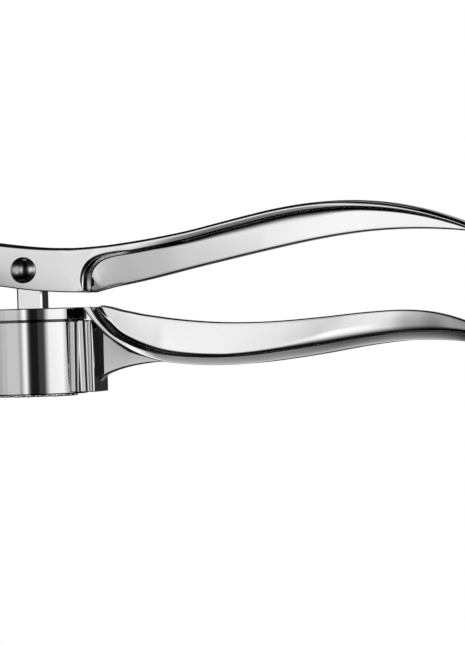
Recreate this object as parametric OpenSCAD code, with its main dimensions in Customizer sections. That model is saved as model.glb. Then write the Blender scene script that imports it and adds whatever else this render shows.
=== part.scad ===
// Lever garlic press: two cast T-section handles, a hopper with a lift-out sieve basket,
// and a plunger that hangs on a rivet between the cheeks of the upper lever.
// X runs from the hinge to the handle ends, Z is up, and Y is the width.
// The origin is on the hopper's axis, at the level of the surface that the press stands on.

/* [Hopper] */
// Outer radius of the hopper sleeve
sleeve_r = 15.8; // [15.6:0.1:16]
// Wall thickness of the hopper sleeve
sleeve_wall = 1.2; // [1:0.1:1.3]
// Height of the sleeve's top edge, where the basket's collar is seated
sleeve_top = 23.6; // [23:0.1:23.8]
// Height of the sleeve's bottom edge
sleeve_bottom = 0.7; // [0.5:0.1:1.5]

/* [Sieve basket] */
// Height of the basket's mouth
rim_top = 27.6; // [27:0.1:27.8]
// Inner radius of the basket at its floor
floor_r = 12.4; // [12.4:0.1:12.6]
// Inner radius of the basket at its mouth
mouth_r = 13.8; // [13.6:0.1:13.9]
// Sheet thickness of the basket
sheet = 0.7; // [0.6:0.05:0.75]
// Outer radius of the basket's collar
collar_r = 16.2; // [16:0.1:16.3]
// Diameter of one pressing hole
hole_d = 1.9; // [1.4:0.1:2.1]
// Distance between neighbouring pressing holes
hole_pitch = 3.1; // [2.9:0.1:3.6]
// Height of the raised lip round each hole, under the floor
lip_h = 0.5; // [0.3:0.1:0.6]

/* [Plunger] */
// Radius of the press plate
plate_r = 11.1; // [10.5:0.1:11.1]
// Thickness of the press plate
plate_t = 2.2; // [1.8:0.1:2.6]
// Height of the press plate's underside at rest
plate_z = 1.5; // [1.4:0.05:1.7]
// Width of the plunger's square stem
stem_w = 8.2; // [7:0.1:8.4]
// Radius of the eye at the top of the stem
eye_r = 4.6; // [4:0.1:4.7]
// Distance of the plunger rivet from the hopper's axis, towards the hinge
rivet_back = 0.8; // [0.7:0.1:0.9]
// Height of the plunger rivet's axis
rivet_z = 39.6; // [39.4:0.1:39.8]

/* [Hinge] */
// Distance of the main hinge from the hopper's axis
hinge_back = 30.8; // [30.5:0.1:31.5]
// Height of the main hinge
hinge_z = 45; // [44.5:0.1:45.5]
// Radius of the hinge pin
pin_r = 3; // [2.5:0.1:3.2]
// Radius of the plunger rivet's shank
rivet_r = 2.5; // [2:0.1:2.8]

/* [Handles] */
// Width of the head, across the cheeks
head_w = 20; // [19:0.2:21]
// Width of the handles' flanges near their ends
tail_w = 15; // [13:0.5:17]
// Thickness of the handles' flanges
flange_t = 2.6; // [2.2:0.1:2.9]
// Thickness of the web under the upper flange and above the lower one
web_t = 6; // [4:0.2:7]
// Width of the slot between the cheeks
slot_w = 13.2; // [13:0.1:13.6]

/* [Hidden] */
$fn = 96;

// Where the plunger rivet and the main hinge lie along X
rivet_x = -rivet_back;
hinge_x = -hinge_back;
// Play of a running fit, on the radius
play = 0.05;
// Thickness of the thrust washers
washer_t = 0.5;
// Half width of the hopper's hinge lug and of the stem's eye
lug_half = slot_w / 2 - washer_t - 2 * play;
// Radius of the hinge lug's barrel
barrel_r = 6;
// Radius of the round nose of the upper lever
nose_r = 7;
// Where the handles end
tail_x = 161;
// Where the handles' flanges start to round off towards their ends
tail_round_x = 153;
// The back plate of the hopper, where the lower handle is welded on
back_x = 20.8;
back_half = 8.5;
back_bottom = 1.1;
// The hollow between the back plate and the sleeve, on each side of the neck
hollow_r = 3.6;
hollow_x = 15.8;
// Height of the shoulder in the collar's underside, and its radius
shoulder_h = 0.4;
shoulder_r = 15.2;
// Outer radius of the basket's mouth, which the collar is shrunk on
mouth_outer_r = mouth_r + 0.5;
// Upper face of the basket's floor
floor_z = lip_h + 0.8;
// Thickness of the roof over the slot of the upper lever, and where it starts and ends
roof_t = 2.2;
roof_x = -22;
slot_end_x = 9.5;
// The tenon of the stem and the boss of the press plate that takes it
tenon_r = 2.5;
boss_r = 5.5;
boss_h = 1.6;
// The lower handle's gusset
gusset_t = 5.5;

// Outer edge of the upper lever, from the hinge to the handle's end
upper_top = [
    [-30.8, 52], [-19, 50.2], [-8, 48.5], [12, 46.3], [31, 47.2], [50.5, 50.1], [69.5, 54.2],
    [84, 56.9], [98, 58], [112, 57.3], [125.5, 54.5], [139, 49.7], [151, 42.2], [161, 33]
];
// Lower edge of the head's cheeks
head_bottom = [[-30.8, 38], [-19, 36.6], [-8, 34.7], [2, 33.1], [11, 32.4], [19, 32.1]];
// Inner edge of the upper lever's web
upper_web = [
    [19, 32.1], [26, 33.6], [34, 35], [53, 39], [72.5, 43], [91.5, 46.5], [106, 48.2],
    [120, 48.6], [133, 47.9], [140, 46.6]
];
// Upper edge of the lower handle's web
lower_web = [
    [20, 28], [34, 25], [50, 22.5], [65, 21.4], [80, 21.6], [95.5, 22.6], [110.5, 23.7],
    [118, 23.8], [126, 22.9], [136.5, 20], [144, 16.4], [151, 12]
];
// Outer edge of the lower handle's flange
lower_bottom = [
    [17.6, 27.4], [20.2, 24.2], [25, 19], [32, 13.9], [41, 10.5], [51, 9], [62, 8.3],
    [75, 9], [90, 10.7], [105, 13], [120, 14.4], [130, 14.3], [138, 13.5], [147, 10.8],
    [155, 5.6], [161, -0.5]
];
// Lower edge of the gusset
gusset_bottom = [[20.8, 3.8], [22.4, 6], [26, 7.6], [32, 9], [38, 9.8], [46, 10]];
// The hinge arm of the hopper: its inner and outer edges
arm_inner = [[-12, 23.2], [-17.5, 23.2], [-22.5, 27.2], [-25.8, 34], [-25.4, 45]];
arm_outer = [[-36.8, 45], [-36, 34], [-30.5, 22], [-22, 11], [-12, 4]];

// A point of the curve that runs smoothly through the points a, b, c and d, between b and c
function smooth_point(a, b, c, d, t) =
    0.5 * (2 * b + (c - a) * t + (2 * a - 5 * b + 4 * c - d) * t * t
    + (3 * b - a - 3 * c + d) * t * t * t);
// A smooth curve through a list of points
function smooth(p, steps = 5) = [
    for (i = [0 : len(p) - 2], s = [0 : steps - 1])
        smooth_point(p[max(i - 1, 0)], p[i], p[i + 1], p[min(i + 2, len(p) - 1)], s / steps),
    p[len(p) - 1]
];
function reversed(p) = [for (i = [len(p) - 1 : -1 : 0]) p[i]];
function lowered(p, h) = [for (q = p) [q[0], q[1] - h]];
// An arc round c, from one angle to another
function arc(c, r, from, to, steps = 8) = [
    for (i = [0 : steps]) let(a = from + (to - from) * i / steps) c + r * [cos(a), sin(a)]
];

// A side view outline, as a solid of the given width about the middle plane
module across(width) {
    translate([0, width / 2, 0])
        rotate([90, 0, 0])
            linear_extrude(height = width)
                children();
}

// A round pin across the press
module cross_pin(x, z, r, width) {
    translate([x, width / 2, z])
        rotate([90, 0, 0])
            cylinder(r = r, h = width);
}

// The outline of both handles from above
module plan_outline() {
    end = arc([tail_round_x, 0], tail_w / 2, 90, 0, 12);
    side = concat([[-40, head_w / 2], [22, head_w / 2]], end);
    polygon(concat([for (q = side) [q[0], q[1]]], [for (q = reversed(side)) [q[0], -q[1]]]));
}

module plan_limits() {
    translate([0, 0, -5])
        linear_extrude(height = 70)
            plan_outline();
}

// Everything of the upper lever, seen from the side
module upper_outline() {
    top = smooth(upper_top);
    under_end = lowered([for (q = top) if (q[0] > 141) q], flange_t);
    polygon(concat(top, reversed(under_end), reversed(smooth(upper_web)), reversed(smooth(head_bottom))));
}

// The hollow on each side of the upper lever's web
module upper_pocket() {
    underside = lowered([for (q = smooth(upper_top)) if (q[0] > 29) q], flange_t);
    corner = arc([25, 37], 6.6, 180, 97);
    polygon(concat([[18.4, 20]], corner, underside, [[tail_x + 10, 20]]));
}

module upper_lever() {
    color("silver")
        difference() {
            intersection() {
                union() {
                    across(head_w) upper_outline();
                    cross_pin(hinge_x, hinge_z, nose_r, head_w);
                }
                plan_limits();
            }
            for (side = [-1, 1])
                translate([0, side * (web_t / 2 + 10), 0])
                    across(20) upper_pocket();
            across(slot_w)
                polygon(concat(
                    [[-45, 20], [-45, 60], [roof_x, 60]],
                    lowered([for (q = smooth(upper_top)) if (q[0] > roof_x && q[0] < slot_end_x) q], roof_t),
                    [[slot_end_x, 20]]
                ));
            cross_pin(hinge_x, hinge_z, pin_r + play, head_w + 2);
            cross_pin(rivet_x, rivet_z, rivet_r, head_w + 2);
        }
}

module lower_handle() {
    flange_bottom = smooth(lower_bottom);
    flange_top = lowered(flange_bottom, -flange_t);
    color("silver")
        difference() {
            intersection() {
                union() {
                    across(head_w)
                        polygon(concat(flange_bottom, reversed(flange_top)));
                    across(web_t)
                        polygon(concat(
                            smooth(lower_web),
                            reversed([for (q = flange_bottom) if (q[0] > 22 && q[0] < 150) lowered([q], -1)[0]]),
                            [[20.8, 25]]
                        ));
                    across(gusset_t)
                        polygon(concat(
                            smooth(gusset_bottom),
                            reversed([for (q = flange_bottom) if (q[0] > 21 && q[0] < 46) lowered([q], -1)[0]]),
                            [[20.8, 24.5]]
                        ));
                }
                plan_limits();
            }
            cylinder(r = collar_r + 0.4, h = 40);
            translate([0, -20, -1])
                cube([back_x, 40, sleeve_top + 1.2]);
        }
}

module hopper_sleeve() {
    color("gainsboro")
        difference() {
            union() {
                translate([0, 0, sleeve_bottom])
                    cylinder(r = sleeve_r, h = sleeve_top - sleeve_bottom);
                translate([0, 0, back_bottom])
                    linear_extrude(height = sleeve_top - back_bottom)
                        difference() {
                            translate([8, -back_half])
                                square([back_x - 8, 2 * back_half]);
                            for (side = [-1, 1])
                                translate([hollow_x, side * back_half])
                                    circle(r = hollow_r);
                        }
                across(2 * lug_half)
                    polygon(concat(smooth(arm_inner), smooth(arm_outer)));
                cross_pin(hinge_x, hinge_z, barrel_r, 2 * lug_half);
            }
            translate([0, 0, -1])
                cylinder(r = sleeve_r - sleeve_wall, h = 40);
            cross_pin(hinge_x, hinge_z, pin_r, head_w);
        }
}

// The places of the pressing holes
function hole_places() = [
    for (row = [-4 : 4], i = [-4 : 4])
        let(p = [(i + (abs(row) % 2) / 2) * hole_pitch, row * hole_pitch * sqrt(3) / 2])
            if (norm(p) < floor_r - 1.2) p
];

module holes(r) {
    for (p = hole_places())
        translate(p)
            circle(r = r, $fn = 24);
}

module sieve_cup() {
    wall = [
        [floor_r - 0.6, lip_h], [floor_r + sheet - 1, lip_h], [floor_r + sheet - 0.3, lip_h + 0.3],
        [floor_r + sheet, lip_h + 1], [mouth_outer_r, sleeve_top - 0.8], [mouth_outer_r, rim_top],
        [mouth_r, rim_top], [floor_r, floor_z], [floor_r - 0.6, floor_z]
    ];
    color("whitesmoke")
        union() {
            rotate_extrude()
                polygon(wall);
            translate([0, 0, lip_h])
                linear_extrude(height = floor_z - lip_h)
                    difference() {
                        circle(r = floor_r - 0.3);
                        holes(hole_d / 2);
                    }
            linear_extrude(height = lip_h)
                difference() {
                    holes(hole_d / 2 + 0.35);
                    holes(hole_d / 2);
                }
        }
}

module basket_collar() {
    color("whitesmoke")
        rotate_extrude()
            polygon([
                [mouth_outer_r, sleeve_top], [shoulder_r, sleeve_top],
                [shoulder_r, sleeve_top + shoulder_h], [collar_r, sleeve_top + shoulder_h],
                [collar_r, rim_top - 0.3], [collar_r - 0.3, rim_top], [mouth_outer_r, rim_top]
            ]);
}

// A rivet across the press, with a domed head at each end
module domed_rivet(x, z, r, half, head_r, dome) {
    ball_r = (head_r * head_r + dome * dome) / (2 * dome);
    half_angle = asin(head_r / ball_r);
    profile = concat(
        [[0, half]], arc([0, half + dome - ball_r], ball_r, 90 - half_angle, 90, 8)
    );
    translate([x, 0, z])
        rotate([90, 0, 0])
            union() {
                translate([0, 0, -half])
                    cylinder(r = r, h = 2 * half);
                for (side = [0, 180])
                    rotate([side, 0, 0])
                        rotate_extrude()
                            polygon(profile);
            }
}

module hinge_pin() {
    color("gray") domed_rivet(hinge_x, hinge_z, pin_r, head_w / 2 + play, 4.6, 2);
}

module plunger_rivet() {
    color("gray") domed_rivet(rivet_x, rivet_z, rivet_r, head_w / 2, 4.1, 2.2);
}

// Two washers, one on each side of the middle plane
module washer_pair(x, z, inner_r, outer_r, from) {
    for (side = [0, 180])
        translate([x, 0, z])
            rotate([90 + side, 0, 0])
                translate([0, 0, from])
                    difference() {
                        cylinder(r = outer_r, h = washer_t);
                        translate([0, 0, -1])
                            cylinder(r = inner_r, h = washer_t + 2);
                    }
}

module hinge_washers() {
    color("silver") washer_pair(hinge_x, hinge_z, pin_r, 5.4, lug_half);
}

module plunger_washers() {
    color("silver") washer_pair(rivet_x, rivet_z, rivet_r, 4.4, slot_w / 2 - washer_t);
}

module plunger_stem() {
    boss_top = plate_z + plate_t + boss_h;
    color("gainsboro")
        difference() {
            union() {
                cross_pin(rivet_x, rivet_z, eye_r, 2 * lug_half);
                translate([rivet_x, 0, boss_top])
                    linear_extrude(height = rivet_z - boss_top)
                        polygon([
                            for (q = [0 : 3])
                                each arc([cos(45 + 90 * q), sin(45 + 90 * q)] * (stem_w / 2 - 0.8) * sqrt(2),
                                    0.8, 90 * q, 90 * q + 90, 4)
                        ]);
                translate([rivet_x, 0, plate_z])
                    cylinder(r = tenon_r, h = boss_top - plate_z + 1);
            }
            cross_pin(rivet_x, rivet_z, rivet_r + play, head_w);
        }
}

module press_plate() {
    color("silver")
        translate([rivet_x, 0, plate_z])
            rotate_extrude()
                polygon([
                    [tenon_r, 0], [plate_r - 0.5, 0], [plate_r, 0.5], [plate_r, plate_t - 0.4],
                    [plate_r - 0.4, plate_t], [boss_r + 0.6, plate_t], [boss_r, plate_t + boss_h],
                    [tenon_r, plate_t + boss_h]
                ]);
}

lower_handle();
hopper_sleeve();
sieve_cup();
basket_collar();
hinge_pin();
hinge_washers();
upper_lever();
plunger_rivet();
plunger_washers();
plunger_stem();
press_plate();
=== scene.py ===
from math import atan2, cos, pi, radians, sin, sqrt

import bmesh
import bpy
import numpy as np
from mathutils import Matrix, Vector


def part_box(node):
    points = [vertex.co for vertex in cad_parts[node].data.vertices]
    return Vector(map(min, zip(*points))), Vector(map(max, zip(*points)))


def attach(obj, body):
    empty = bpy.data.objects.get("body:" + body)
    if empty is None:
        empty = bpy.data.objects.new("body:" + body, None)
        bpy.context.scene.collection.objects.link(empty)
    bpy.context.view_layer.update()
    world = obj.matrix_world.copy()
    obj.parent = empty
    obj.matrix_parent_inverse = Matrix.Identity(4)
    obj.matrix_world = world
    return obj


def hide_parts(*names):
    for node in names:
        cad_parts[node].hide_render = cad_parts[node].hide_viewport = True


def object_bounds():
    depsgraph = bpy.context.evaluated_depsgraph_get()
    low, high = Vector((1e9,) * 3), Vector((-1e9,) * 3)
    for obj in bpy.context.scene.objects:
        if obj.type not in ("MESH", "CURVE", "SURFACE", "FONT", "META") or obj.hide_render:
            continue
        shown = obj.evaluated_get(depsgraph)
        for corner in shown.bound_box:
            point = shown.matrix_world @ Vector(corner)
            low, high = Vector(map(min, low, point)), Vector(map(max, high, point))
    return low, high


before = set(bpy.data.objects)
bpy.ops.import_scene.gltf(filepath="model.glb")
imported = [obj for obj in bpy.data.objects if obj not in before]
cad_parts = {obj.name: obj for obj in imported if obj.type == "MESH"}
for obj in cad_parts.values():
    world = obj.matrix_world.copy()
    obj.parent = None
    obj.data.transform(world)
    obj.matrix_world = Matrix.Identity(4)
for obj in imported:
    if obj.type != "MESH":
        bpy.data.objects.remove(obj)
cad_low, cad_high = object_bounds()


# --- The studio -------------------------------------------------------------------------------
# A light table inside a white tent, as polished steel is lit. The press stands on the table's
# pale glowing top. Dark strips hang between the tent's bright walls, and where the steel mirrors
# them it shows the black lines that draw its edges.
MM = 0.001
VIEW_TURN, VIEW_ROLL = radians(13), radians(1.7)
VIEW_LENS, VIEW_DISTANCE = 200, 1110.7 * MM
VIEW_CENTRE = Vector((63.7, -1.35, 21.4)) * MM
VIEW_NEAR, VIEW_FAR = 0.1, 20
TABLE_SIDE = 6.0
SOFTBOX_WIDTH, SOFTBOX_POWER, SOFTBOX_PLACE = 0.34, 0.08, (0.05, -0.05, 0.9)
# How bright the tent is at eye level, by the direction in degrees: 0 is where the front faces,
# and 90 is past the handles' ends
WALL = [
    (-180, 0.6), (-166, 0.02), (-92, 0.02), (-82, 0.42), (-66, 0.58), (-44, 0.5), (-24, 0.43),
    (-18.4, 0.47), (-16.6, 0.8), (-14.5, 0.86), (-11, 1.12), (-7.5, 0.98), (-5, 0.45), (-3, 0.22),
    (0, 0.05), (4, 0.012), (18, 0.012), (21, 0.05), (33, 0.06), (45, 1.0), (78, 1.1), (88, 0.6),
    (104, 0.42), (110, 0.02), (168, 0.03), (176, 0.6), (180, 0.6)
]
# How much of that is left at each height above eye level, in degrees
FALL = [
    (-90, 0.0), (-34, 0.0), (-22, 0.06), (-14, 0.28), (-7, 0.7), (0, 0.98), (6, 1.1), (12, 0.85),
    (20, 0.3), (30, 0.02), (90, 0.0)
]
# A round soft light at the front left: the direction to it, the cosines between which it fades
# out, and how bright it is
ROUND_SIDE, ROUND_LIFT, ROUND_FADE, ROUND_GLOW = radians(-42), radians(2), (0.9, 0.975), 0.62


class Wire:
    """A socket of a node tree, which sums can be written with."""

    def __init__(self, tree, socket=None):
        self.tree, self.socket = tree, socket

    def node(self, kind, settings=None, inputs=None, output=0):
        """A new node: its settings are made first, then its sockets' values or links."""
        made = self.tree.nodes.new(kind)
        for name, value in (settings or {}).items():
            if name == "stops":
                made.color_ramp.elements.remove(made.color_ramp.elements[1])
                for spot, (place, shade) in enumerate(value):
                    stop = made.color_ramp.elements.new(place) if spot else made.color_ramp.elements[0]
                    stop.position = place
                    stop.color = (shade, shade, shade, 1)
            else:
                setattr(made, name, value)
        for name, value in (inputs or {}).items():
            if isinstance(value, Wire):
                self.tree.links.new(value.socket, made.inputs[name])
            else:
                made.inputs[name].default_value = value
        return Wire(self.tree, made.outputs[output] if made.outputs else None)

    def output(self, name):
        """Another output of the same node."""
        return Wire(self.tree, self.socket.node.outputs[name])

    def sum(self, operation, *values):
        return self.node("ShaderNodeMath", {"operation": operation}, dict(enumerate(values)))

    def ramp(self, stops):
        """The value at this place between listed stops."""
        return self.node("ShaderNodeValToRGB", {"stops": stops}, {0: self})

    def __add__(self, other):
        return self.sum("ADD", self, other)

    def __sub__(self, other):
        return self.sum("SUBTRACT", self, other)

    def __rsub__(self, other):
        return self.sum("SUBTRACT", other, self)

    def __mul__(self, other):
        return self.sum("MULTIPLY", self, other)

    def __truediv__(self, other):
        return self.sum("DIVIDE", self, other)

    __radd__, __rmul__ = __add__, __mul__


def empty_tree(owner):
    """The cleared node tree of a material or a world, as a wire with no socket yet."""
    owner.use_nodes = True
    owner.node_tree.nodes.clear()
    return Wire(owner.node_tree)


tent = bpy.data.worlds.new("tent")
bpy.context.scene.world = tent
wire = empty_tree(tent)
way = wire.node("ShaderNodeSeparateXYZ", None, {0: wire.node("ShaderNodeTexCoord")})
turn = wire.sum("ARCTAN2", way, 0 - way.output("Y")) / (2 * pi) + 0.5
height = wire.sum("ARCSINE", way.output("Z")) / pi + 0.5
round_walls = turn.ramp([(a / 360 + 0.5, v) for a, v in WALL])
walls = round_walls * height.ramp([(a / 180 + 0.5, v) for a, v in FALL])
towards = sin(ROUND_SIDE) * cos(ROUND_LIFT) * way - cos(ROUND_SIDE) * cos(ROUND_LIFT) * way.output("Y")
disc = wire.node("ShaderNodeMapRange", {"interpolation_type": "SMOOTHSTEP", "clamp": True}, {
    "Value": towards + sin(ROUND_LIFT) * way.output("Z"), "From Min": ROUND_FADE[0],
    "From Max": ROUND_FADE[1], "To Min": 0.0, "To Max": ROUND_GLOW})
walls = wire.sum("MAXIMUM", walls, disc)
seen = wire.node("ShaderNodeBackground", None, {"Color": (1, 1, 1, 1)})
mirrored = wire.node("ShaderNodeBackground", None, {"Color": walls})
direct = wire.node("ShaderNodeLightPath", output="Is Camera Ray")
both = wire.node("ShaderNodeMixShader", None, {0: direct, 1: mirrored, 2: seen})
wire.node("ShaderNodeOutputWorld", None, {"Surface": both})

table = bpy.data.meshes.new("light_table")
reach = TABLE_SIDE / 2
table.from_pydata(
    [(x * reach, y * reach, cad_low.z) for x, y in ((-1, -1), (1, -1), (1, 1), (-1, 1))],
    [], [(0, 1, 2, 3)])
table = bpy.data.objects.new("light_table", table)
bpy.context.scene.collection.objects.link(table)
frosted = bpy.data.materials.new("frosted_top")
wire = empty_tree(frosted)
wire.node("ShaderNodeOutputMaterial", None, {
    "Surface": wire.node("ShaderNodeEmission", None, {"Color": (1, 1, 1, 1), "Strength": 1.0})})
table.data.materials.append(frosted)
table.visible_glossy = False

softbox = bpy.data.lights.new("softbox", "AREA")
softbox.shape, softbox.size, softbox.energy = "DISK", SOFTBOX_WIDTH, SOFTBOX_POWER
lamp = bpy.data.objects.new("softbox", softbox)
lamp.location = SOFTBOX_PLACE
lamp.visible_camera = False
bpy.context.scene.collection.objects.link(lamp)

along = Vector((cos(VIEW_TURN), sin(VIEW_TURN), 0))
upright = Vector((0, 0, 1))
axes = (
    along * cos(VIEW_ROLL) - upright * sin(VIEW_ROLL),
    along * sin(VIEW_ROLL) + upright * cos(VIEW_ROLL),
    Vector((sin(VIEW_TURN), -cos(VIEW_TURN), 0)),
)
camera = bpy.data.objects.new("camera", bpy.data.cameras.new("camera"))
camera.data.lens = VIEW_LENS
camera.data.clip_start, camera.data.clip_end = VIEW_NEAR, VIEW_FAR
facing = Matrix(axes).transposed().to_4x4()
camera.matrix_world = Matrix.Translation(VIEW_CENTRE + axes[2] * VIEW_DISTANCE) @ facing
bpy.context.scene.collection.objects.link(camera)
bpy.context.scene.camera = camera
bpy.context.scene.view_settings.view_transform = "Standard"
bpy.context.scene.cycles.use_denoising = True


# --- The lower handle -------------------------------------------------------------------------
# A steel casting of T section: a flange that the palm rests on, with a web standing on it, and a
# thin gusset under it where it meets the hopper. Its flange sweeps up beside the hopper's mouth.
# It is ground, then buffed bright along its length, and welded to the hopper's back plate.
HEAD_HALF, TAIL_HALF = 10, 7.5
TAPER_FROM, TAIL_ROUND, TAIL_END = 22, 153, 160.5
WEB_HALF = 3
# The gusset's half thickness at the plate and how much it gains along it, its fillet under the
# flange as a share of its height and at most, and the rounding of its lower edge
GUSSET_HALF, GUSSET_GAIN, GUSSET_FILLET, GUSSET_RIM = 2.4, 0.6, (0.3, 1.6), 0.4
STEEL_DARK, STEEL_LIGHT = (0.82, 0.82, 0.83, 1), (0.93, 0.93, 0.935, 1)
# How much the clouds, the hairs and the worn edges lighten the steel, and what wear takes off its
# roughness
CLOUD_TONE, HAIR_TONE, WORN_TONE, WORN_SHINE = 0.35, 0.25, 0.5, 0.5
CLOUD_SCALE, BUMP_STRENGTH = 55.0, 0.35
# An edge that turns by WORN_TURN is fully worn, and one that turns by more than SHARP_TURN is
# shaded sharp. Points nearer than WELD are joined after a cut.
WORN_TURN, SHARP_TURN = radians(24), radians(42)
WELD = 0.015 * MM

# Stations along the handle, each with a point on the flange's underside, one on its upper face
# and one on the web's upper edge
LOWER_STATIONS = [
    (17.9, 27.4, 20.6, 27.55, 21.9, 27.95), (20.3, 24.1, 22.5, 24.2, 25, 27.3),
    (22.6, 21.4, 24.8, 21.4, 28, 26.4), (26, 18, 27.7, 18.65, 31, 25.7),
    (30.4, 14.95, 31.65, 16.3, 34.4, 24.9), (35.5, 12.35, 36.45, 14.15, 38.4, 24.2),
    (42.3, 10.2, 42.8, 12.4, 43.9, 23.3), (50.6, 9, 50.8, 11.4, 51, 22.4),
    (60, 8.4, 60, 11, 60, 21.65), (70, 8.6, 70, 11.3, 70, 21.4), (80, 9.5, 80, 12.3, 80, 21.6),
    (92, 11, 92, 13.8, 92, 22.35), (106, 13.1, 106, 15.8, 106, 23.45),
    (118, 14.3, 118, 16.9, 118, 23.8), (128, 14.35, 128, 16.9, 128, 22.65),
    (137, 13.6, 137, 16.1, 137, 19.85), (144, 11.9, 144, 14.4, 144, 16.4),
    (149.5, 9.3, 149.5, 11.6, 149.5, 11.6), (153, 7.1, 153, 9.4, 153, 9.4),
    (156, 4.7, 156, 7, 156, 7), (158.4, 2.5, 158.4, 4.8, 158.4, 4.8),
    (159.9, 0.95, 159.9, 3.2, 159.9, 3.2), (160.5, 0.3, 160.5, 2.6, 160.5, 2.6)
]
# Stations along the gusset: a point inside the flange, one on the flange's underside and one on
# the gusset's lower edge
GUSSET_STATIONS = [
    (20.5, 25.2, 20.5, 23.9, 20.4, 3.9), (23.6, 22.2, 22.6, 21.4, 22.5, 6.1),
    (26, 19.6, 25.2, 18.7, 25.2, 7.3), (29.3, 17.1, 28.6, 16.1, 28.6, 8.3),
    (33.6, 14.6, 33, 13.5, 33, 9.15), (38.4, 12.6, 38, 11.4, 38, 9.7),
    (42.6, 11.6, 42.5, 10.7, 42.5, 9.95), (44.5, 11.3, 44.5, 10.8, 44.5, 10.3)
]


def smooth_line(points, steps=5):
    """A smooth curve through every point, with that many steps from one to the next."""
    p = np.array(points, float)
    line = []
    for i in range(len(p) - 1):
        a, b, c, d = p[max(i - 1, 0)], p[i], p[i + 1], p[min(i + 2, len(p) - 1)]
        for t in np.arange(steps) / steps:
            line.append(0.5 * (2 * b + (c - a) * t + (2 * a - 5 * b + 4 * c - d) * t * t
                               + (3 * b - a - 3 * c + d) * t ** 3))
    return np.array(line + [p[-1]])


def square_to(line, side):
    """At each point of a side view line, the direction square to it: side 1 is to its left."""
    run = np.gradient(line, axis=0)
    run /= np.maximum(np.linalg.norm(run, axis=1), 1e-9)[:, None]
    return side * np.stack([-run[:, 1], run[:, 0]], axis=1)


def quarter(steps):
    """The angles of a quarter turn."""
    return [pi / 2 * k / steps for k in range(steps + 1)]


def along_bar(line, marks):
    """A size that changes along a bar: marks are (x, size), and it runs straight between them."""
    return np.interp(line[:, 0], [x for x, _ in marks], [v for _, v in marks])


def t_section(outer, inner, web, side, width, web_half, depth, rise, draft, slopes, top_rim, rim, run,
              web_rim=0.42, crown=0.2):
    """The rows of one half of a T-section bar, from the flange's middle to the web's, at y >= 0.
    Outer and inner are the flange's two faces, web is the web's free edge, and width is half the
    flange's. Depth and rise are the fillet's, and draft thickens the web at its root. Slopes are how
    steeply the flange's side leans in at its outer and at its inner edge. The outer edge is rounded
    by top_rim, (across, down), the inner edge by rim across and run down, and the web's edge by
    web_rim. Crown is how far the outer face falls from its middle to its edge."""
    rows = []

    def row(line, y):
        rows.append(np.stack([line[:, 0], np.broadcast_to(y, len(line)), line[:, 1]], axis=1))

    def between(a, b, share):
        return a + (b - a) * share

    out, into, off = square_to(outer, side), square_to(inner, -side), square_to(web, -side)
    room = np.sum((web - inner) * into, axis=1)
    web = np.where(room[:, None] > 0.02, web, inner)
    room = np.linalg.norm(web - inner, axis=1)
    thick = np.abs(np.sum((outer - inner) * out, axis=1))
    across, rim = np.minimum(top_rim[0], 0.45 * width), np.minimum(rim, 0.45 * width)
    crown = np.minimum(crown, 0.03 * width)
    web_half = np.minimum(web_half, 0.4 * width)
    rise, depth = np.minimum(rise, 0.5 * room), np.minimum(depth, room)
    web_rim = np.minimum(web_rim, 0.4 * room)
    root = web_half + np.minimum(draft, 0.15 * room)
    t, n, f, e, c = (np.asarray(v)[:, None] for v in (
        np.minimum(top_rim[1], 0.65 * thick - crown), np.minimum(run, 0.3 * thick), rise, web_rim, crown))
    for share in (0, 0.4, 0.75):
        row(outer - out * c * share ** 2, share * (width - across))
    for a in quarter(6):
        row(outer - out * (c + t * (1 - cos(a))), width - across * (1 - sin(a)))
    top, foot = outer - out * (c + t), inner - into * n
    tall = np.linalg.norm(top - foot, axis=1)
    edge = width - tall * (slopes[0] + slopes[1]) / 2
    for share in (0.15, 0.3, 0.45, 0.6, 0.75, 0.9):
        lean = slopes[0] * share + (slopes[1] - slopes[0]) * share ** 2 / 2
        row(between(top, foot, share), width - tall * lean)
    for a in quarter(6):
        row(inner - into * n * (1 - sin(a)), edge - rim * (1 - cos(a)))
    for share in (0.35, 0.7):
        row(inner, between(edge - rim, root + depth, share))
    for a in quarter(8):
        row(inner + into * f * (1 - cos(a)), root + depth * (1 - sin(a)))
    for share in (0.1, 0.3, 0.5, 0.7, 0.9):
        row(between(inner + into * f, web - off * e, share), between(root, web_half, share))
    for a in quarter(3):
        row(web - off * e * (1 - sin(a)), web_half - web_rim * (1 - cos(a)))
    row(web, web_half * 0.4)
    row(web, 0)
    return rows


def mesh_object(name, build):
    """A new object at the origin, whose mesh build fills in millimetres, closed and facing out."""
    shape = bmesh.new()
    build(shape)
    bmesh.ops.remove_doubles(shape, verts=shape.verts, dist=1e-4)
    bmesh.ops.dissolve_degenerate(shape, edges=shape.edges, dist=1e-4)
    bmesh.ops.recalc_face_normals(shape, faces=shape.faces)
    bmesh.ops.scale(shape, vec=(MM, MM, MM), verts=shape.verts)
    made = bpy.data.objects.new(name, bpy.data.meshes.new(name))
    shape.to_mesh(made.data)
    shape.free()
    bpy.context.scene.collection.objects.link(made)
    return made


def skin(shape, rings):
    """Faces between rings of as many points each, and a face at each end."""
    grid = [[shape.verts.new(p) for p in ring] for ring in rings]
    for here, there in zip(grid, grid[1:]):
        for k in range(len(here)):
            shape.faces.new((here[k - 1], here[k], there[k], there[k - 1]))
    for ring in (grid[0], grid[-1]):
        shape.faces.new(ring)


def mirrored_bar(name, rows):
    """A bar from the rows of its half section, and the same rows on the other side."""
    half_rows = np.array(rows).transpose(1, 0, 2)
    flip = np.array([1, -1, 1])
    rings = [np.vstack([ring, (ring * flip)[-2:0:-1]]) for ring in half_rows]
    return mesh_object(name, lambda shape: skin(shape, rings))


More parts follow.
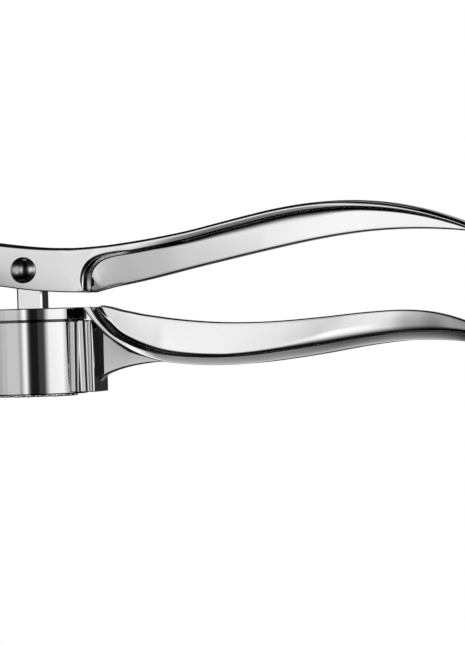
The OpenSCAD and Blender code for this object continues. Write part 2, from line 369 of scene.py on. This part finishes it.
def combine(target, tool, operation):
    """Joins tool to target, or cuts it away, removes it, and welds the slivers this leaves."""
    cut = target.modifiers.new("cut", "BOOLEAN")
    cut.object, cut.operation, cut.solver = tool, operation, "EXACT"
    view = bpy.context.evaluated_depsgraph_get()
    result = bpy.data.meshes.new_from_object(target.evaluated_get(view))
    target.modifiers.remove(cut)
    target.data = result
    bpy.data.objects.remove(tool)
    shape = bmesh.new()
    shape.from_mesh(result)
    bmesh.ops.remove_doubles(shape, verts=shape.verts, dist=WELD)
    bmesh.ops.dissolve_degenerate(shape, edges=shape.edges, dist=0.001 * MM)
    shape.to_mesh(result)
    shape.free()
    return target


def plan_half(x):
    """Half the handles' width at x: a slight taper, and a round end."""
    taper = (np.clip(x, TAPER_FROM, TAIL_ROUND) - TAPER_FROM) / (TAIL_ROUND - TAPER_FROM)
    end = np.clip((x - TAIL_ROUND) / (TAIL_END - TAIL_ROUND), 0, 1)
    return (HEAD_HALF - (HEAD_HALF - TAIL_HALF) * taper) * np.sqrt(np.maximum(1 - end ** 2, 0.01))


def edge_wear(piece):
    """Marks how sharply the surface turns at each vertex, where hands and buffing wear it."""
    shape = bmesh.new()
    shape.from_mesh(piece.data)
    turns = np.zeros(len(shape.verts))
    for edge in shape.edges:
        if len(edge.link_faces) == 2:
            angle = edge.calc_face_angle(0)
            for v in edge.verts:
                turns[v.index] = max(turns[v.index], angle)
    shape.free()
    mark = piece.data.attributes.new("worn_edge", "FLOAT", "POINT")
    mark.data.foreach_set("value", np.clip(turns / WORN_TURN, 0, 1).astype(np.float32))


def buffed_steel(name, grain, dark=STEEL_DARK, light=STEEL_LIGHT, gloss=0.045, haze=0.07, depth=0.00001):
    """Bright buffed steel: hair-fine marks along the buffing, a little haze, and brighter edges."""
    made = bpy.data.materials.new(name)
    wire = empty_tree(made)
    place = wire.node("ShaderNodeTexCoord", output="Object")
    stretched = wire.node("ShaderNodeMapping", None, {"Vector": place, "Scale": grain})
    hairs = wire.node("ShaderNodeTexNoise", None, {"Vector": stretched, "Scale": 1.0, "Detail": 3.0})
    clouds = wire.node("ShaderNodeTexNoise", None, {"Vector": place, "Scale": CLOUD_SCALE, "Detail": 2.0})
    worn = wire.node("ShaderNodeAttribute", {"attribute_name": "worn_edge"}, output="Fac")
    share = CLOUD_TONE * clouds + HAIR_TONE * hairs + WORN_TONE * worn
    tone = wire.node("ShaderNodeMix", {"data_type": "RGBA"}, {0: share, 6: dark, 7: light}, output=2)
    rough = gloss + haze * hairs * clouds - WORN_SHINE * gloss * worn
    bump = wire.node("ShaderNodeBump", None, {
        "Strength": BUMP_STRENGTH, "Distance": depth, "Height": hairs + clouds})
    steel = wire.node("ShaderNodeBsdfPrincipled", None, {
        "Base Color": tone, "Metallic": 1.0, "Roughness": rough, "Normal": bump})
    wire.node("ShaderNodeOutputMaterial", None, {"Surface": steel})
    return made


def finish_piece(piece, material, node, body):
    """Smooths the shading, gives the finish, and puts the piece on its body in the CAD node's stead."""
    piece.data.materials.clear()
    piece.data.materials.append(material)
    piece.data.shade_smooth()
    piece.data.set_sharp_from_angle(angle=SHARP_TURN)
    edge_wear(piece)
    flats = piece.modifiers.new("flats", "WEIGHTED_NORMAL")
    flats.keep_sharp = True
    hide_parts(node)
    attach(piece, body)
    return piece


handle = smooth_line(LOWER_STATIONS)
under = handle[:, 0:2]
lower = mirrored_bar("lower_handle_casting", t_section(
    under, handle[:, 2:4], handle[:, 4:6], -1, width=plan_half(under[:, 0]),
    web_half=along_bar(under, [(92, WEB_HALF), (100, 2.97), (108, 2.87), (116, 2.68), (124, 2.4),
                               (132, 2.06), (140, 1.7), (148, 1.35)]),
    depth=along_bar(under, [(18, 0.2), (22, 1.2), (34, 1.6), (50, 1.2), (62, 0.9), (137, 0.7), (149, 0)]),
    rise=along_bar(under, [(18, 0.2), (22, 1.4), (34, 1.7), (50, 1.2), (62, 1), (80, 1.8), (96, 3.4),
                           (114, 3.4), (137, 1), (149, 0)]),
    draft=along_bar(under, [(22, 0), (40, 0.6), (92, 0.6), (130, 0)]),
    slopes=(along_bar(under, [(30, 0), (42, 0.16), (90, 0.16), (150, 0.14), (158, 0.14), (160.3, 0)]),
            along_bar(under, [(30, 0), (42, 0.2), (84, 0.21), (98, 0.26), (158, 0.26), (160.3, 0)])),
    top_rim=(along_bar(under, [(30, 0.6), (46, 0.12)]),) * 2, rim=0.35, run=0.35, crown=0))

gusset = smooth_line(GUSSET_STATIONS)
buried, under, edge = gusset[:, 0:2], gusset[:, 2:4], gusset[:, 4:6]
down = square_to(under, -1)
tall = np.linalg.norm(under - edge, axis=1)
flare = np.clip(GUSSET_FILLET[0] * (tall - 0.3), 0, GUSSET_FILLET[1])
sheet_half = GUSSET_HALF + GUSSET_GAIN * (under[:, 0] - under[0, 0]) / (under[-1, 0] - under[0, 0])
foot = GUSSET_RIM * np.clip(tall / 2, 0.05, 1)
sheet_rows = []
for line, y in (
    [(buried, 0 * flare), (buried, sheet_half + flare)]
    + [(under + down * (flare * (1 - cos(a)))[:, None], sheet_half + flare * (1 - sin(a)))
       for a in quarter(5)]
    + [(edge - square_to(edge, -1) * (foot * (1 - sin(a)))[:, None], sheet_half - foot * (1 - cos(a)))
       for a in quarter(3)]
    + [(edge, 0 * flare)]
):
    sheet_rows.append(np.stack([line[:, 0], y, line[:, 1]], axis=1))
combine(lower, mirrored_bar("gusset", sheet_rows), "UNION")
lengthwise = buffed_steel("buffed_lengthwise", (70, 2200, 2200))
finish_piece(lower, lengthwise, "lower_handle", "base_body")


# --- The hopper -------------------------------------------------------------------------------
# A thin turned sleeve that holds the sieve basket, brazed into a casting: behind it, towards the
# handle, a short neck and a back plate with a hollow on each side, and in front of it an arm that
# curves up to the hinge lug.
hopper_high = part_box("hopper_sleeve")[1] / MM
pin_low, pin_high = (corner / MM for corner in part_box("hinge_pin"))
HINGE = np.array([(pin_low.x + pin_high.x) / 2, (pin_low.z + pin_high.z) / 2])
SLEEVE_R, SLEEVE_WALL = 15.8, 1.2
SLEEVE_TOP, SLEEVE_BOTTOM = 23.6, 0.7
# The back plate, and where the neck starts inside the sleeve
PLATE_HALF, PLATE_BOTTOM, NECK_X = 8.5, 1.1, 12.2
# The hollow's middle and radius, how far the middle moves back and how much the hollow widens
# towards its top, and the directions of its outline from the sleeve to the plate
HOLLOW_X, HOLLOW_R, HOLLOW_DRAFT = 15.8, 3.6, (0.5, 0.4)
HOLLOW_ARC = [126, *range(117, 11, -3)]
LUG_R, LUG_HALF, PIN_R, ARM_RIM = 6, 6.0, 3, 1.1
# Stations up the arm: a point on its outer edge and one on its inner edge
ARM_STATIONS = [
    (-12.5, 4, -12.5, 23.2), (-21.5, 10.6, -17.5, 23.3), (-27.2, 16.6, -20.4, 25),
    (-31.4, 23.6, -23, 28.4), (-34.6, 31, -25, 33), (-36.4, 38.4, -25.3, 39), (-36.75, 45, -24.85, 45)
]


def turned(shape, profile, centre, axis="z", steps=96):
    """A shape turned from a profile of (radius, height along the axis) points. A profile that
    starts on the axis also ends there, and any other one closes on itself."""
    closed = profile[0][0] > 0
    rings = []
    for k in range(steps):
        a = 2 * pi * k / steps
        if axis == "z":
            rings.append([(centre[0] + r * cos(a), r * sin(a), h) for r, h in profile])
        else:
            rings.append([(centre[0] + r * cos(a), h, centre[1] + r * sin(a)) for r, h in profile])
    grid = [[shape.verts.new(p) for p in ring] for ring in rings]
    for here, there in zip(grid, grid[1:] + grid[:1]):
        for k in range(0 if closed else 1, len(profile)):
            shape.faces.new((here[k - 1], here[k], there[k], there[k - 1]))


def rounded(points, steps=4):
    """An outline whose corners are rounded: each point is (a, b, radius), and it closes on itself."""
    line = []
    p = [np.array(q[:2], float) for q in points]
    for k, (_, _, r) in enumerate(points):
        here, before, after = p[k], p[k - 1], p[(k + 1) % len(p)]
        if not r:
            line.append(tuple(here))
            continue
        u, v = before - here, after - here
        u, v = u / np.linalg.norm(u), v / np.linalg.norm(v)
        half_angle = np.arccos(np.clip(u @ v, -1, 1)) / 2
        centre = here + (u + v) / np.linalg.norm(u + v) * r / sin(half_angle)
        start, end = here + u * r / np.tan(half_angle) - centre, here + v * r / np.tan(half_angle) - centre
        sweep = atan2(start[0] * end[1] - start[1] * end[0], start @ end)
        for s in range(steps + 1):
            a = sweep * s / steps
            line.append((centre[0] + start[0] * cos(a) - start[1] * sin(a),
                         centre[1] + start[0] * sin(a) + start[1] * cos(a)))
    return line


def upright_prism(shape, outline, bottom, top, rim=0.3, upper=None):
    """An upright bar with that outline from above (or changing to another at its top), and with
    rounded upper and lower edges."""
    low, high = np.array(outline), np.array(outline if upper is None else upper)
    levels = [(bottom + rim * (1 - sin(a)), rim * (1 - cos(a))) for a in quarter(3)[::-1]]
    levels += [(bottom + (top - bottom) * share, 0) for share in (0.25, 0.5, 0.75)]
    levels += [(top - rim * (1 - sin(a)), rim * (1 - cos(a))) for a in quarter(3)]
    rings = []
    for z, inset in levels:
        line = low + (high - low) * (z - bottom) / (top - bottom)
        run = np.roll(line, -1, axis=0) - np.roll(line, 1, axis=0)
        run /= np.linalg.norm(run, axis=1)[:, None]
        area = np.sum(line[:, 0] * np.roll(line[:, 1], -1) - line[:, 1] * np.roll(line[:, 0], -1))
        inward = np.stack([-run[:, 1], run[:, 0]], axis=1) * np.sign(area)
        rings.append([(x, y, z) for x, y in line + inward * inset])
    skin(shape, rings)


def drill(piece, radius, place, reach=12):
    """Cuts a round bore right across the press."""
    combine(piece, mesh_object("bore", lambda shape: turned(
        shape, [(0, -reach), (radius, -reach), (radius, reach), (0, reach)], place, "y", 64)), "DIFFERENCE")


plate_x = hopper_high.x
outlines = []
for middle, radius in (
    (HOLLOW_X, HOLLOW_R), (HOLLOW_X - HOLLOW_DRAFT[0], HOLLOW_R + HOLLOW_DRAFT[1])
):
    hollow = [(middle + radius * cos(radians(a)), radius * sin(radians(a)) - PLATE_HALF) for a in HOLLOW_ARC]
    flank = hollow + rounded([
        (*hollow[-1], 0), (middle + radius, -PLATE_HALF, 0.4), (plate_x, -PLATE_HALF, 0.9),
        (plate_x, 0, 0)])[1:-1]
    outlines.append([(NECK_X, 0)] + flank + [(plate_x, 0)] + [(x, -y) for x, y in flank[::-1]])
casting = mesh_object("hopper_casting", lambda shape: upright_prism(
    shape, outlines[0], PLATE_BOTTOM, SLEEVE_TOP - 0.05, 0.25, outlines[1]))
arm = smooth_line(ARM_STATIONS)
count = np.ones(len(arm))
combine(casting, mirrored_bar("hinge_arm", t_section(
    arm[:, 0:2], arm[:, 2:4], arm[:, 2:4], 1, width=(LUG_HALF - 0.02) * count, web_half=WEB_HALF,
    depth=0, rise=0, draft=0, slopes=(0, 0), top_rim=(ARM_RIM, ARM_RIM), rim=ARM_RIM, run=ARM_RIM)), "UNION")
combine(casting, mesh_object("lug", lambda shape: turned(shape, rounded([
    (0, -LUG_HALF, 0), (LUG_R, -LUG_HALF, 0.8), (LUG_R, LUG_HALF, 0.8), (0, LUG_HALF, 0)]),
    HINGE, "y", 96)), "UNION")
trim_r = SLEEVE_R - SLEEVE_WALL / 2
combine(casting, mesh_object("trim", lambda shape: turned(
    shape, [(0, -2), (trim_r, -2), (trim_r, 40), (0, 40)], (0, 0), steps=160)), "DIFFERENCE")
combine(casting, mesh_object("sleeve", lambda shape: turned(shape, rounded([
    (SLEEVE_R - SLEEVE_WALL, SLEEVE_BOTTOM, 0.3), (SLEEVE_R, SLEEVE_BOTTOM, 0.4),
    (SLEEVE_R, SLEEVE_TOP, 0.55), (SLEEVE_R - SLEEVE_WALL, SLEEVE_TOP, 0.2)]), (0, 0), steps=160)), "UNION")
drill(casting, PIN_R, HINGE)
finish_piece(casting, lengthwise, "hopper_sleeve", "base_body")


# --- The sieve basket -------------------------------------------------------------------------
# A cup drawn from sheet steel. Its floor is pierced with round holes in a honeycomb, and each hole
# was pushed through, which leaves a lip round it underneath that the garlic is scraped from.
FLOOR_R, FLOOR_Z, MOUTH_R, SHEET = 12.4, 1.3, 13.8, 0.7
HOLE_R, HOLE_PITCH, HOLE_ROWS, LIP_H, LIP_WALL = 0.95, 3.1, 11, 0.5, 0.36
HOLE_SIDES, FLOOR_SIDES = 24, 96
# How far the floor runs into the wall, and the room between the outer holes' middles and the wall
FLOOR_LAP, FIELD_MARGIN = 0.3, 1.2


def sieve_floor_tree():
    """The geometry nodes that pierce the floor and stand a lip round each hole."""
    tree = bpy.data.node_groups.new("pierced_floor", "GeometryNodeTree")
    for name, kind in (("Floor radius", "NodeSocketFloat"), ("Field radius", "NodeSocketFloat"),
                       ("Hole radius", "NodeSocketFloat"), ("Pitch", "NodeSocketFloat"),
                       ("Floor bottom", "NodeSocketFloat"), ("Floor top", "NodeSocketFloat"),
                       ("Lip wall", "NodeSocketFloat"), ("Finish", "NodeSocketMaterial")):
        tree.interface.new_socket(name, in_out="INPUT", socket_type=kind)
    tree.interface.new_socket("Geometry", in_out="OUTPUT", socket_type="NodeSocketGeometry")
    wire = Wire(tree)
    given = wire.node("NodeGroupInput")
    pitch, low, high = given.output("Pitch"), given.output("Floor bottom"), given.output("Floor top")
    hole, lip = given.output("Hole radius"), given.output("Lip wall")
    side = (HOLE_ROWS - 1) * pitch
    grid = wire.node("GeometryNodeMeshGrid", None, {
        "Size X": side, "Size Y": side * (sqrt(3) / 2), "Vertices X": HOLE_ROWS, "Vertices Y": HOLE_ROWS})
    at = wire.node("ShaderNodeSeparateXYZ", None, {0: wire.node("GeometryNodeInputPosition")})
    line = wire.sum("ROUND", at.output("Y") / (pitch * (sqrt(3) / 2)))
    odd = wire.sum("ABSOLUTE", wire.sum("MODULO", line, 2))
    shift = wire.node("ShaderNodeCombineXYZ", None, {"X": odd * pitch * 0.5})
    shifted = wire.node("GeometryNodeSetPosition", None, {"Geometry": grid, "Offset": shift})
    reach = wire.node("ShaderNodeVectorMath", {"operation": "LENGTH"},
                      {0: wire.node("GeometryNodeInputPosition")}, output="Value")
    outside = wire.sum("GREATER_THAN", reach, given.output("Field radius"))
    places = wire.node("GeometryNodeDeleteGeometry", None, {"Geometry": shifted, "Selection": outside})
    thick = high - low
    middle = wire.node("ShaderNodeCombineXYZ", None, {"Z": (high + low) * 0.5})
    punch = wire.node("GeometryNodeMeshCylinder", {"fill_type": "NGON"},
                      {"Vertices": HOLE_SIDES, "Radius": hole, "Depth": 4 * thick})
    punches = wire.node("GeometryNodeInstanceOnPoints", None, {"Points": places, "Instance": punch})
    disc = wire.node("GeometryNodeMeshCylinder", {"fill_type": "NGON"},
                     {"Vertices": FLOOR_SIDES, "Radius": given, "Depth": thick})
    pierced = wire.node("GeometryNodeMeshBoolean", {"operation": "DIFFERENCE", "solver": "EXACT"}, {
        "Mesh 1": disc, "Mesh 2": wire.node("GeometryNodeRealizeInstances", None, {0: punches})})
    raised = wire.node("GeometryNodeTransform", None, {"Geometry": pierced, "Translation": middle})
    ring = wire.node("GeometryNodeCurvePrimitiveCircle", {"mode": "RADIUS"},
                     {"Resolution": HOLE_SIDES, "Radius": hole + lip * 0.5}, output="Curve")
    bead = wire.node("GeometryNodeCurvePrimitiveQuadrilateral", {"mode": "RECTANGLE"},
                     {"Width": lip, "Height": low + thick * 0.5})
    soft = wire.node("GeometryNodeFilletCurve", {"mode": "POLY"},
                     {"Curve": bead, "Radius": lip * 0.42, "Count": 2})
    torus = wire.node("GeometryNodeCurveToMesh", None, {"Curve": ring, "Profile Curve": soft})
    lip_mid = wire.node("ShaderNodeCombineXYZ", None, {"Z": (low + thick * 0.5) * 0.5})
    lips = wire.node("GeometryNodeInstanceOnPoints", None, {"Points": places, "Instance": torus})
    lowered = wire.node("GeometryNodeTransform", None, {
        "Geometry": wire.node("GeometryNodeRealizeInstances", None, {0: lips}), "Translation": lip_mid})
    joined = wire.node("GeometryNodeJoinGeometry", None, {0: raised})
    tree.links.new(lowered.socket, joined.socket.node.inputs[0])
    real = wire.node("GeometryNodeRealizeInstances", None, {0: joined})
    done = wire.node("GeometryNodeSetMaterial", None,
                     {"Geometry": real, "Material": given.output("Finish")})
    wire.node("NodeGroupOutput", None, {0: done})
    return tree


drawn = buffed_steel("drawn_sheet", (900, 900, 60), gloss=0.09, haze=0.16, depth=0.000015)
floor = mesh_object("sieve_floor", lambda shape: None)
pierce = floor.modifiers.new("pierce", "NODES")
pierce.node_group = sieve_floor_tree()
sizes = {
    "Floor radius": (FLOOR_R + FLOOR_LAP) * MM, "Field radius": (FLOOR_R - FIELD_MARGIN) * MM,
    "Hole radius": HOLE_R * MM, "Pitch": HOLE_PITCH * MM, "Floor bottom": LIP_H * MM,
    "Floor top": FLOOR_Z * MM, "Lip wall": LIP_WALL * MM, "Finish": drawn}
for item in pierce.node_group.interface.items_tree:
    if item.in_out == "INPUT":
        pierce[item.identifier] = sizes[item.name]
pierced_mesh = bpy.data.meshes.new_from_object(floor.evaluated_get(bpy.context.evaluated_depsgraph_get()))
floor.modifiers.remove(pierce)
floor.data = pierced_mesh
mouth = (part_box("sieve_cup")[1] / MM).z
cup = mesh_object("sieve_basket", lambda shape: turned(shape, rounded([
    (FLOOR_R - 0.5, LIP_H, 0), (FLOOR_R + SHEET - 0.1, LIP_H, 0.7), (MOUTH_R + 0.5, SLEEVE_TOP - 0.8, 0.5),
    (MOUTH_R + 0.5, mouth, 0.15), (MOUTH_R, mouth, 0.3), (FLOOR_R, FLOOR_Z, 0.5),
    (FLOOR_R - 0.5, FLOOR_Z, 0)]), (0, 0), steps=128))
whole = bmesh.new()
whole.from_mesh(cup.data)
whole.from_mesh(floor.data)
whole.to_mesh(cup.data)
whole.free()
bpy.data.objects.remove(floor)
finish_piece(cup, drawn, "sieve_cup", "base_body")


# --- The basket's collar ----------------------------------------------------------------------
# A turned ring, shrunk on the mouth of the basket. It hangs the basket on the sleeve, and the
# relief under its shoulder shows as a fine groove.
COLLAR_R, SHOULDER_R, SHOULDER_H = 16.2, 15.2, 0.4
turned_steel = buffed_steel("turned_steel", (300, 300, 5200), gloss=0.05, haze=0.1)
collar = mesh_object("collar_ring", lambda shape: turned(shape, rounded([
    (MOUTH_R + 0.5, SLEEVE_TOP, 0), (SHOULDER_R, SLEEVE_TOP, 0),
    (COLLAR_R, SLEEVE_TOP + SHOULDER_H, 0.15), (COLLAR_R, mouth, 0.4), (MOUTH_R + 0.5, mouth, 0.15)]),
    (0, 0), steps=160))
finish_piece(collar, turned_steel, "basket_collar", "base_body")


# --- The main hinge ---------------------------------------------------------------------------
# A steel pin with a dome set at each end, tight in the hopper's lug and free in the lever's
# cheeks, and a thin thrust washer on each side of the lug.
WASHER_T, HINGE_WASHER_R, PIN_PLAY = 0.5, 5.4, 0.05
# Each dome rises from a short straight foot
HINGE_HEAD_R, HINGE_DOME, DOME_FOOT = 4.6, 2.0, 0.15
SET_DARK, SET_LIGHT = (0.62, 0.62, 0.63, 1), (0.8, 0.8, 0.8, 1)


def rivet(name, place, shank_r, half, head_r, dome):
    """A pin across the press, from one domed head to the other."""
    head = [(head_r * sin(a), half + DOME_FOOT + (dome - DOME_FOOT) * cos(a)) for a in quarter(16)]
    head += [(head_r - 0.1, half), (shank_r, half)]
    profile = head + [(r, -h) for r, h in head[::-1]]
    return mesh_object(name, lambda shape: turned(shape, profile, place, "y", 72))


def washers(name, place, inner_r, outer_r, near):
    """Two washers, one on each side of the middle."""
    def build(shape):
        for side in (-1, 1):
            turned(shape, rounded([
                (inner_r, side * near, 0), (outer_r, side * near, 0.12),
                (outer_r, side * (near + WASHER_T), 0.12), (inner_r, side * (near + WASHER_T), 0)], 3),
                place, "y", 72)
    return mesh_object(name, build)


set_steel = buffed_steel("set_steel", (400, 400, 400), SET_DARK, SET_LIGHT, 0.16, 0.14, 0.00003)
finish_piece(rivet("hinge_rivet", HINGE, PIN_R, HEAD_HALF + 0.05, HINGE_HEAD_R, HINGE_DOME),
             set_steel, "hinge_pin", "base_body")
finish_piece(washers("hinge_shims", HINGE, PIN_R, HINGE_WASHER_R, LUG_HALF), turned_steel,
             "hinge_washers", "base_body")


# --- The upper lever --------------------------------------------------------------------------
# The second casting: a forked head whose two cheeks take the hinge and the plunger between them,
# and a handle of T section with its web underneath. The pocket beside the web starts at a rounded
# step behind the head.
NOSE_R, NOSE_TURNS = 7, (0, 12, 30, 50, 70)
SLOT_HALF, SLOT_END, ROOF, ROOF_FROM = 6.6, 9.5, 2.2, -22
RIVET_R = 2.5
rivet_low, rivet_high = (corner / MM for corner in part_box("plunger_rivet"))
RIVET = np.array([(rivet_low.x + rivet_high.x) / 2, (rivet_low.z + rivet_high.z) / 2])
# Stations along the lever, each with a point on its upper face, one on the flange's underside or
# the head's lower edge, and one on the web's lower edge
UPPER_STATIONS = [
    (-30.8, 52, -30.8, 38, -30.8, 38), (-25, 51.1, -25, 37.4, -25, 37.4),
    (-19, 49.9, -19, 36.6, -19, 36.6), (-13, 48.9, -13, 35.7, -13, 35.7),
    (-8, 48.1, -8, 34.7, -8, 34.7), (-1, 47.2, 1, 33.3, 1, 33.3), (5, 46.6, 9, 32.55, 9, 32.55),
    (9.5, 46.35, 14.5, 32.22, 14.5, 32.22), (11.6, 46.3, 17, 32.15, 17, 32.15),
    (12.6, 46.25, 17.95, 32.17, 18.3, 32.13), (13.4, 46.22, 18.35, 32.45, 19.3, 32.14),
    (14.2, 46.2, 18.45, 33.1, 20, 32.2), (15.4, 46.22, 18.47, 34.4, 20.8, 32.36),
    (16.9, 46.25, 18.55, 36.1, 21.8, 32.6), (18.5, 46.3, 18.85, 37.9, 22.9, 32.86),
    (20.3, 46.38, 19.75, 39.8, 24.2, 33.17), (22.3, 46.48, 21.25, 41.4, 25.6, 33.5),
    (24.4, 46.62, 23.3, 42.7, 27.2, 33.8), (26.8, 46.8, 26, 43.5, 29.2, 34.15),
    (29.6, 47.08, 29.2, 44, 31.6, 34.57), (33, 47.48, 32.9, 44.45, 34.4, 35.08),
    (37.6, 48.05, 37.6, 45.1, 38.4, 35.85), (43.9, 48.98, 43.9, 46.1, 44.2, 37.1),
    (51.9, 50.35, 51.9, 47.6, 52, 38.8), (60, 52.1, 60, 49.45, 60, 40.45),
    (69.5, 54.2, 69.5, 51.5, 69.5, 42.4), (79, 56.1, 79, 53.5, 79, 44.25),
    (88.4, 57.4, 88.4, 54.95, 88.4, 45.95), (98, 58, 98, 55.7, 98, 47.35),
    (107, 57.75, 107, 55.5, 107, 48.25), (116.4, 56.6, 116.4, 54.45, 116.4, 48.6),
    (125.5, 54.5, 125.5, 52.5, 125.5, 48.4), (134, 51.7, 134, 49.85, 134, 47.75),
    (139.5, 49.45, 139.5, 47.6, 139.5, 46.9), (144.5, 46.75, 144.5, 44.85, 144.5, 44.85),
    (149, 43.6, 149, 41.65, 149, 41.65), (153, 40.5, 153, 38.55, 153, 38.55),
    (156, 37.9, 156, 35.95, 156, 35.95), (158.4, 35.6, 158.4, 33.65, 158.4, 33.65),
    (159.9, 34.1, 159.9, 32.15, 159.9, 32.15), (160.5, 33.45, 160.5, 31.5, 160.5, 31.5)
]
nose = []
for a in NOSE_TURNS:
    out, up = NOSE_R * cos(radians(180 - a)), NOSE_R * sin(radians(a))
    nose.append((HINGE[0] + out, HINGE[1] + up) + (HINGE[0] + out, HINGE[1] - up) * 2)
lever_line = smooth_line(nose + UPPER_STATIONS)
back = lever_line[:, 0:2]
lever = mirrored_bar("upper_lever_casting", t_section(
    back, lever_line[:, 2:4], lever_line[:, 4:6], 1, width=plan_half(back[:, 0]),
    web_half=along_bar(back, [(14, 2.5), (46, 3.3), (76, 3.6)]),
    depth=along_bar(back, [(12, 0), (14, 0.8), (44, 0.7), (64, 0.6), (116, 0.8), (139.5, 0.3), (144, 0)]),
    rise=along_bar(back, [(12, 0), (14, 0.8), (40, 0.8), (66, 2.6), (90, 2.6), (104, 1.3), (139.5, 0.3),
                          (144, 0)]),
    draft=along_bar(back, [(13, 0), (18, 0.5), (42, 0.5), (95, 0)]),
    slopes=(along_bar(back, [(-16, -0.02), (10, 0), (34, 0.01), (48, 0.11), (90, 0.11), (102, 0)]),
            along_bar(back, [(-16, 0.06), (10, 0), (26, 0), (48, 0.165), (90, 0.17), (104, 0.14),
                             (158, 0.14), (160.3, 0)])),
    top_rim=(along_bar(back, [(20, 0.6), (60, 0.65), (95, 0.8), (115, 1.3), (150, 1.3), (158, 0.5)]),
             along_bar(back, [(20, 0.95), (60, 0.9), (95, 1.0), (115, 1.5), (150, 1.5), (158, 0.5)])),
    rim=along_bar(back, [(13, 0.4), (15, 0.65), (22, 0.65), (30, 0.35)]),
    run=along_bar(back, [(14.2, 0.4), (16.9, 1.2), (18.5, 1.3), (20.3, 1.5), (24, 1.7), (34, 0.35)])))


def side_prism(shape, outline, half_width):
    """A bar across the press with that outline from the side."""
    skin(shape, [[(x, y, z) for x, z in outline] for y in (-half_width, half_width)])


roof = [(x, z - ROOF) for x, z in smooth_line([s[:2] for s in UPPER_STATIONS]) if ROOF_FROM < x < SLOT_END]
slot = [(-45, 20), (-45, 60), (ROOF_FROM, 60)] + roof + [(SLOT_END, roof[-1][1]), (SLOT_END, 20)]
combine(lever, mesh_object("slot", lambda shape: side_prism(shape, slot, SLOT_HALF)), "DIFFERENCE")
drill(lever, PIN_R + PIN_PLAY, HINGE)
drill(lever, RIVET_R, RIVET)
finish_piece(lever, lengthwise, "upper_lever", "lever_body")


# --- The plunger's rivet ----------------------------------------------------------------------
# The plunger hangs on a rivet that is set in the cheeks, with a washer on each side of its eye.
STEM_HEAD_R, STEM_DOME, STEM_WASHER_R = 4.1, 2.9, 4.4
finish_piece(rivet("stem_rivet", RIVET, RIVET_R, HEAD_HALF, STEM_HEAD_R, STEM_DOME), set_steel,
             "plunger_rivet", "lever_body")
finish_piece(washers("stem_shims", RIVET, RIVET_R, STEM_WASHER_R, SLOT_HALF - WASHER_T), turned_steel,
             "plunger_washers", "lever_body")


# --- The plunger ------------------------------------------------------------------------------
# A square bar with an eye at its top, turned down to a tenon at its foot. The tenon is set in the
# boss of a round press plate, which is turned and faced.
STEM_HALF, STEM_CHAMFER, EYE_R = 4.1, 0.6, 4.6
PLATE_R, PLATE_T, PLATE_Z, BOSS_R, BOSS_H, TENON_R = 11.1, 2.2, 1.5, 5.5, 1.6, 2.5
PLATE_TOP = PLATE_Z + PLATE_T
BOSS_TOP = PLATE_TOP + BOSS_H
BAR_DARK, BAR_LIGHT = (0.95, 0.95, 0.955, 1), (0.98, 0.98, 0.98, 1)
flat = STEM_HALF - STEM_CHAMFER
square = rounded([(RIVET[0] + x, y, 0.1) for x, y in (
    (flat, -STEM_HALF), (STEM_HALF, -flat), (STEM_HALF, flat), (flat, STEM_HALF),
    (-flat, STEM_HALF), (-STEM_HALF, flat), (-STEM_HALF, -flat), (-flat, -STEM_HALF))])
stem = mesh_object("stem_bar", lambda shape: upright_prism(shape, square, BOSS_TOP, RIVET[1], 0.05))
combine(stem, mesh_object("eye", lambda shape: turned(shape, rounded([
    (0, -LUG_HALF, 0), (EYE_R, -LUG_HALF, 0.4), (EYE_R, LUG_HALF, 0.4), (0, LUG_HALF, 0)]),
    RIVET, "y", 96)), "UNION")
combine(stem, mesh_object("tenon", lambda shape: turned(shape, [
    (0, PLATE_Z), (TENON_R, PLATE_Z), (TENON_R, BOSS_TOP + 1), (0, BOSS_TOP + 1)],
    (RIVET[0], 0))), "UNION")
drill(stem, RIVET_R + PIN_PLAY, RIVET)
bar_steel = buffed_steel("bar_steel", (1800, 1800, 60), BAR_DARK, BAR_LIGHT)
finish_piece(stem, bar_steel, "plunger_stem", "plunger_body")
plate = mesh_object("press_disc", lambda shape: turned(shape, rounded([
    (TENON_R, PLATE_Z, 0), (PLATE_R, PLATE_Z, 0.5), (PLATE_R, PLATE_TOP, 0.4),
    (BOSS_R + 0.6, PLATE_TOP, 0.3), (BOSS_R, BOSS_TOP, 0.4), (TENON_R, BOSS_TOP, 0)]),
    (RIVET[0], 0), steps=128))
finish_piece(plate, turned_steel, "press_plate", "plunger_body")
